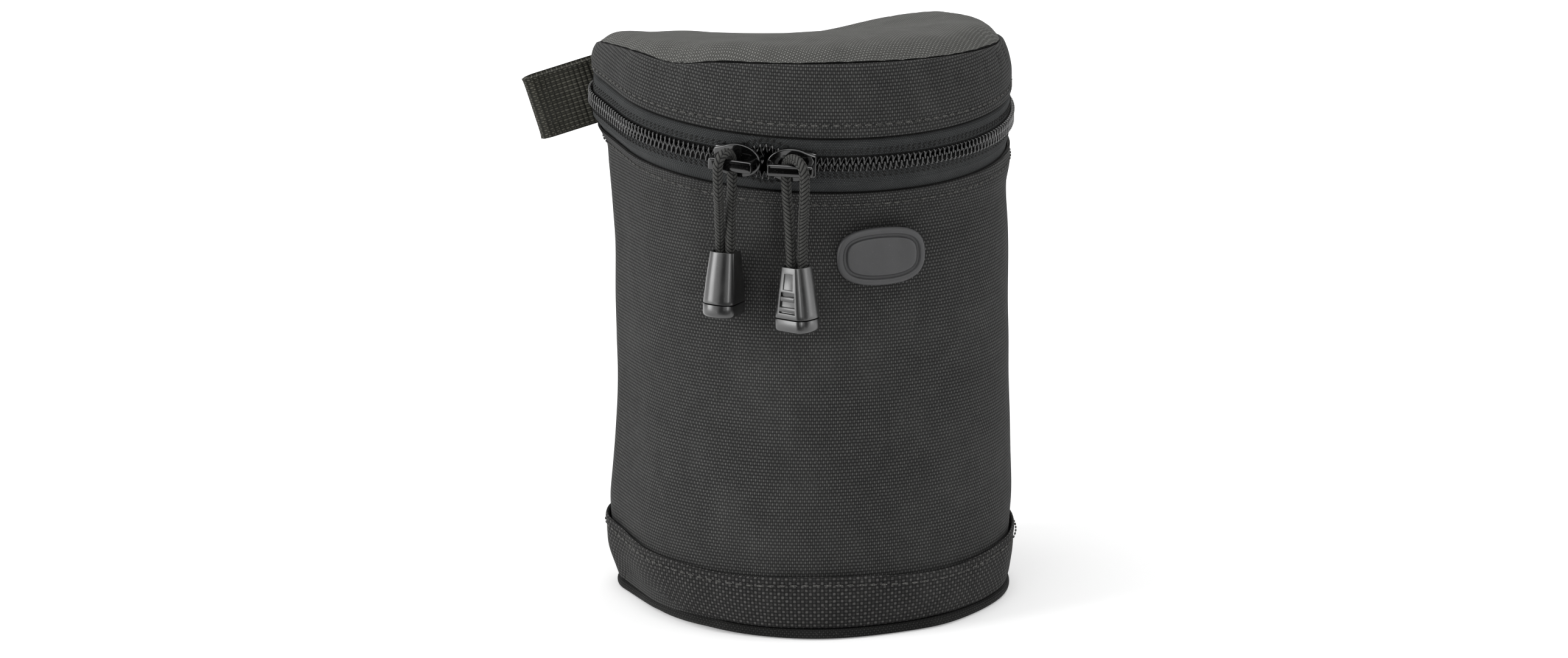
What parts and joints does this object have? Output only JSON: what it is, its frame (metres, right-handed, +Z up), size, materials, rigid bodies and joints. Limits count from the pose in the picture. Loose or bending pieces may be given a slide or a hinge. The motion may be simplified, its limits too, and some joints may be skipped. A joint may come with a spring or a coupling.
{
  "type": "lens pouch",
  "caption": "Padded D-plan pouch for a camera lens, with a two-slider coil zipper round a hinged lid, corded pulls, a webbing tab and a belt loop.",
  "frame": {"origin": "underside of the base, below the centre of the body's front arc", "axes": "+Z up, front of the pouch towards -Y, flat back towards +Y"},
  "size_m": [0.1362, 0.1199, 0.1763],
  "materials": {
    "body_cloth": "charcoal plain-weave polyester, matte",
    "band_cloth": "coarse black basket-weave nylon, matte",
    "lid_cloth": "grey plain-weave polyester, matte",
    "foam": "closed-cell foam, laminated between the fabrics",
    "lining": "brushed grey tricot",
    "zipper_tape": "woven polyester tape",
    "zipper_coil": "black nylon coil, satin",
    "slider_metal": "gloss black enamel on die-cast zinc",
    "cord_braid": "herringbone braided cord",
    "cord_end_plastic": "satin black moulded plastic",
    "badge_rubber": "soft moulded rubber, satin",
    "webbing": "ribbed olive-black nylon webbing"
  },
  "bodies": {
    "case": {"base_panel": "body_cloth", "base_binding": "band_cloth", "base_foam": "foam", "base_lining": "lining", "base_band": "band_cloth", "front_panel": "body_cloth", "back_panel": "body_cloth", "wall_foam": "foam", "wall_lining": "lining", "lower_tape": "zipper_tape", "lower_coil": "zipper_coil", "hinge_fabric": "body_cloth", "badge": "badge_rubber", "belt_loop": "webbing", "grab_tab": "webbing"},
    "lid": {"lid_band": "body_cloth", "lid_top": "lid_cloth", "lid_top_foam": "foam", "lid_band_foam": "foam", "lid_lining": "lining", "upper_tape": "zipper_tape", "upper_coil": "zipper_coil"},
    "left_slider": {"left_slider": "slider_metal"},
    "right_slider": {"right_slider": "slider_metal"},
    "left_pull": {"left_pull_cord": "cord_braid", "left_cord_end": "cord_end_plastic", "left_cord_cap": "cord_end_plastic"},
    "right_pull": {"right_pull_cord": "cord_braid", "right_cord_end": "cord_end_plastic", "right_cord_cap": "cord_end_plastic"}
  },
  "joints": [
    {"name": "lid_hinge", "type": "hinge", "parent": "case", "child": "lid", "pos_m": [0, 0.04768, 0.15753], "axis": [-1, 0, 0], "range_deg": [0, 110], "deforming": ["hinge_fabric", "grab_tab", "lower_coil", "upper_coil"]},
    {"name": "left_slider_travel", "type": "hinge", "parent": "case", "child": "left_slider", "pos_m": [-0.0028, 0, 0.152], "axis": [0, -0.1153, 0.9933], "range_deg": [-42, 0]},
    {"name": "right_slider_travel", "type": "hinge", "parent": "case", "child": "right_slider", "pos_m": [-0.0028, 0, 0.152], "axis": [0, -0.1153, 0.9933], "range_deg": [0, 111]},
    {"name": "left_pull_swing", "type": "hinge", "parent": "left_slider", "child": "left_pull", "pos_m": [-0.04861, -0.05125, 0.14605], "axis": [-0.7478, 0.6595, 0.0765], "range_deg": [0, 85]},
    {"name": "right_pull_swing", "type": "hinge", "parent": "right_slider", "child": "right_pull", "pos_m": [-0.03413, -0.06107, 0.14491], "axis": [-0.891, 0.451, 0.0523], "range_deg": [0, 85]}
  ],
  "couplings": [
    {"joint": "left_slider_travel", "follows": "lid_hinge", "ratio": -0.3818},
    {"joint": "right_slider_travel", "follows": "lid_hinge", "ratio": 1.009}
  ]
}
